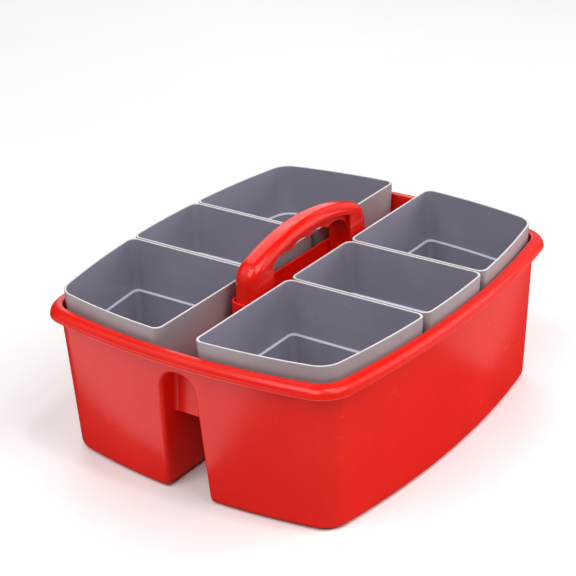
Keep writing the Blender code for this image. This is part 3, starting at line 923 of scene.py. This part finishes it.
def rim_highlight_mask(n):
    """The two thin painted highlight lines of the rim: its inner top edge, lit from above, and its
    lower outer edge, a painted reflection of the floor.
    """
    height = n.axis(n.where, "Z")
    normal = n.shape["Normal"]
    up = n.axis(normal, "Z")
    outward = n.math("ADD", n.math("MULTIPLY", n.axis(normal, "X"), n.axis(n.where, "X")),
                     n.math("MULTIPLY", n.axis(normal, "Y"), n.axis(n.where, "Y")))
    inner = n.math("MULTIPLY", n.remap(outward, *FACING_IN),
                   n.math("MULTIPLY", n.remap(height, *INNER_HIGHLIGHT), n.remap(up, *INNER_HIGHLIGHT_UP)))
    band = n.math("MULTIPLY", n.remap(height, *LOWER_HIGHLIGHT_TOP), n.remap(height, *LOWER_HIGHLIGHT_FOOT))
    lower = n.math("MULTIPLY", n.math("MULTIPLY", n.remap(up, *LOWER_HIGHLIGHT_DOWN), band),
                   n.remap(outward, *FACING_OUT))
    return n.math("MAXIMUM", inner, lower)


def red_plastic(name, roughness, rim_highlights=False):
    """Glossy injection-moulded polypropylene with faint flow marks, scuffs and rubbed edges, and
    painted highlight lines along the rim if asked.
    """
    n = Nodes(name)
    cloudy = n.remap(n.noise(11.0, 3.0), 0.35, 0.65)
    speckle = n.remap(n.noise(1400.0, 2.0), 0.3, 0.7)
    flow = n.remap(n.noise(14.0, 4.0, 0.6, (1.0, 1.0, 0.25)), 0.4, 0.7)
    scuff = n.remap(n.noise(55.0, 9.0, 0.72), 0.60, 0.76)
    hairs = n.remap(n.noise(260.0, 3.0, 0.6, (0.06, 0.9, 1.6)), 0.66, 0.72)
    edge = n.remap(n.shape["Pointiness"], 0.56, 0.72)
    colour = n.blend(cloudy, RED, RED_LIGHT)
    colour = n.blend(n.math("MULTIPLY", flow, 0.25), colour, RED_DEEP)
    colour = n.blend(n.math("MULTIPLY", speckle, 0.10), colour, RED_DEEP)
    colour = n.blend(n.math("MULTIPLY", scuff, 0.012), colour, RED_WORN_AND_HIGHLIGHT)
    colour = n.blend(n.math("MULTIPLY", edge, 0.08), colour, RED_WORN_AND_HIGHLIGHT)
    # Painted highlights: thin pale lines on the rim's inner top edge and on the lip's lower edge
    if rim_highlights:
        colour = n.blend(n.math("MULTIPLY", rim_highlight_mask(n), 0.8), colour, RED_WORN_AND_HIGHLIGHT)
    n.set(n.shader.inputs["Base Color"], colour)
    rough = n.math("ADD", roughness, n.math("MULTIPLY", cloudy, 0.03))
    rough = n.math("ADD", rough, n.math("MULTIPLY", scuff, 0.02))
    rough = n.math("ADD", rough, n.math("MULTIPLY", hairs, 0.008))
    rough = n.math("ADD", rough, n.math("MULTIPLY", edge, 0.05))
    n.set(n.shader.inputs["Roughness"], rough)
    waves = n.bump(n.noise(24.0, 1.0), 0.25, 0.0006)
    grain = n.bump(speckle, 0.06, 0.00012, waves)
    n.set(n.shader.inputs["Normal"], grain)
    n.shader.inputs["IOR"].default_value = 1.42
    n.shader.inputs["Specular IOR Level"].default_value = 0.5
    return n.material


def grey_plastic(name):
    """Satin smoky-grey polypropylene, with painted highlights on the rounded rim and on the step in
    the wall, painted shade on the inner face and painted light with a red reflection on the outer.
    """
    n = Nodes(name)
    height = n.axis(n.where, "Z")
    up = n.axis(n.shape["Normal"], "Z")
    cloudy = n.remap(n.noise(16.0, 3.0), 0.35, 0.65)
    speckle = n.remap(n.noise(1100.0, 2.0), 0.3, 0.7)
    draw = n.remap(n.noise(420.0, 2.0, 0.5, (1.0, 1.0, 0.03)), 0.35, 0.7)
    scuff = n.remap(n.noise(70.0, 9.0, 0.72), 0.60, 0.76)
    # Mask of the painted highlight along the cup's rim
    rim = n.remap(height, *CUP_RIM_HIGHLIGHT)
    # Mask of the painted highlight on the step in the wall, where it faces up
    step = n.math("MULTIPLY", n.remap(up, *STEP_HIGHLIGHT_UP),
                  n.math("MULTIPLY", n.remap(height, *STEP_HIGHLIGHT_FOOT),
                         n.remap(height, *STEP_HIGHLIGHT_TOP)))
    inside = n.add("ShaderNodeAttribute", attribute_name="inside").outputs["Fac"]
    shaded_inner_grey = n.blend(cloudy, GREY_IN_SHADE, GREY_IN_SHADE_CLOUDY)
    lit_outer_grey = n.blend(cloudy, GREY_OUT_LIT, GREY_OUT_LIT_CLOUDY)
    # Painted shade on the cup's inner face, painted light and red reflection on its outer face
    colour = n.blend(inside, lit_outer_grey, shaded_inner_grey)
    colour = n.blend(n.math("MULTIPLY", speckle, 0.08), colour, GREY_DEEP)
    colour = n.blend(n.math("MULTIPLY", draw, 0.04), colour, GREY_DEEP)
    colour = n.blend(n.math("MULTIPLY", scuff, 0.02), colour, GREY_PALE_SCUFF_AND_HIGHLIGHT)
    # Painted highlight on the step in the wall
    colour = n.blend(n.math("MULTIPLY", step, 0.85), colour, GREY_STEP_HIGHLIGHT)
    # Painted highlight along the cup's rim
    colour = n.blend(n.math("MULTIPLY", rim, 0.9), colour, GREY_PALE_SCUFF_AND_HIGHLIGHT)
    n.set(n.shader.inputs["Base Color"], colour)
    rough = n.math("ADD", 0.22, n.math("MULTIPLY", cloudy, 0.04))
    rough = n.math("ADD", rough, n.math("MULTIPLY", scuff, 0.04))
    rough = n.math("ADD", rough, n.math("MULTIPLY", draw, 0.01))
    n.set(n.shader.inputs["Roughness"], rough)
    waves = n.bump(n.noise(30.0, 1.0), 0.2, 0.0005)
    grain = n.bump(speckle, 0.08, 0.00012, waves)
    n.set(n.shader.inputs["Normal"], n.bump(draw, 0.012, 0.00005, grain))
    n.shader.inputs["IOR"].default_value = 1.45
    return n.material


def floor_paint():
    """Matt near-white paint of the studio floor."""
    n = Nodes("pale_floor")
    tone = n.remap(n.noise(3.0, 4.0), 0.3, 0.7)
    n.set(n.shader.inputs["Base Color"], n.blend(tone, FLOOR_PALE, FLOOR_PALER))
    n.shader.inputs["Roughness"].default_value = 0.7
    n.shader.inputs["Specular IOR Level"].default_value = 0.2
    return n.material


# ---------------------------------------------------------------- studio

def make_camera():
    data = bpy.data.cameras.new("camera")
    data.sensor_width = CAMERA_SENSOR
    data.lens = CAMERA_LENS
    data.shift_x, data.shift_y = CAMERA_SHIFT
    data.clip_start, data.clip_end = CAMERA_RANGE
    flat = math.cos(CAMERA_PITCH)
    ahead = Vector((math.cos(CAMERA_YAW) * flat, math.sin(CAMERA_YAW) * flat,
                    -math.sin(CAMERA_PITCH)))
    right = Vector((math.sin(CAMERA_YAW), -math.cos(CAMERA_YAW), 0.0))
    down = ahead.cross(right)
    turned_right = right * math.cos(CAMERA_ROLL) + down * math.sin(CAMERA_ROLL)
    turned_down = down * math.cos(CAMERA_ROLL) - right * math.sin(CAMERA_ROLL)
    camera = bpy.data.objects.new("camera", data)
    bpy.context.scene.collection.objects.link(camera)
    matrix = Matrix((turned_right, -turned_down, -ahead)).transposed().to_4x4()
    matrix.translation = CAMERA_PLACE
    camera.matrix_world = matrix
    bpy.context.scene.camera = camera


def area_light(name, place, aim, size, power):
    """A rectangular light that shines from its place towards its aim."""
    data = bpy.data.lights.new(name, "AREA")
    data.shape = "RECTANGLE"
    data.size, data.size_y = size
    data.energy = power
    item = bpy.data.objects.new(name, data)
    bpy.context.scene.collection.objects.link(item)
    item.location = place
    item.rotation_euler = (Vector(aim) - Vector(place)).to_track_quat("-Z", "Y").to_euler()
    return item


def make_world():
    bpy.context.scene.view_settings.view_transform = "Standard"
    world = bpy.data.worlds.new("studio")
    bpy.context.scene.world = world
    world.use_nodes = True
    background = world.node_tree.nodes["Background"]
    background.inputs["Color"].default_value = (1.0, 1.0, 1.0, 1.0)
    background.inputs["Strength"].default_value = WORLD_STRENGTH


def make_floor():
    bm = bmesh.new()
    bmesh.ops.create_grid(bm, x_segments=FLOOR_CELLS, y_segments=FLOOR_CELLS, size=FLOOR_HALF)
    mesh = bpy.data.meshes.new("floor")
    bm.to_mesh(mesh)
    bm.free()
    floor = link("floor", mesh)
    floor.location.z = -GAP
    floor.visible_glossy = False
    floor.data.materials.append(floor_paint())


def make_lights():
    """Softboxes all round, a small lamp overhead, a low fill and two cards on the floor."""
    for azimuth, elevation, power in SOFTBOXES:
        turn = math.radians(azimuth)
        rise = math.radians(elevation)
        flat = math.cos(rise)
        way = Vector((math.cos(turn) * flat, math.sin(turn) * flat, math.sin(rise)))
        place = Vector(SOFTBOX_AIM) + way * SOFTBOX_DISTANCE
        area_light("softbox_%d_%d" % (azimuth, elevation), place, SOFTBOX_AIM, SOFTBOX_SIZE, power)
    area_light(*HIGHLIGHT)
    fill = area_light(*SIDE_FILL)
    fill.visible_glossy = False
    for settings in (LEFT_CARD, RIGHT_CARD):
        # A card is seen only as a reflection in the glossy plastic
        card = area_light(*settings)
        card.visible_camera = False
        card.visible_diffuse = False


# ---------------------------------------------------------------- the pieces

def main():
    tub = make_tub()
    tub.data.materials.clear()
    tub.data.materials.append(red_plastic("tub_plastic", 0.24, rim_highlights=True))
    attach(tub, "caddy")
    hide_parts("tub")
    handle = make_handle()
    handle.data.materials.clear()
    handle.data.materials.append(red_plastic("handle_plastic", 0.15))
    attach(handle, "caddy")
    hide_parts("handle")
    grey = grey_plastic("cup_plastic")
    for side_name, sign_y in (("left", 1), ("right", -1)):
        for end_name, outline, sign_x in (("front", corner_cup_outline, -1),
                                          ("middle", middle_cup_outline, 1),
                                          ("back", corner_cup_outline, 1)):
            node = "cup_" + end_name + "_" + side_name
            cup = make_cup("cup_shell_" + end_name + "_" + side_name, outline, sign_x, sign_y)
            cup.data.materials.append(grey)
            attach(cup, node)
            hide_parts(node)
    make_world()
    make_floor()
    make_lights()
    make_camera()


main()
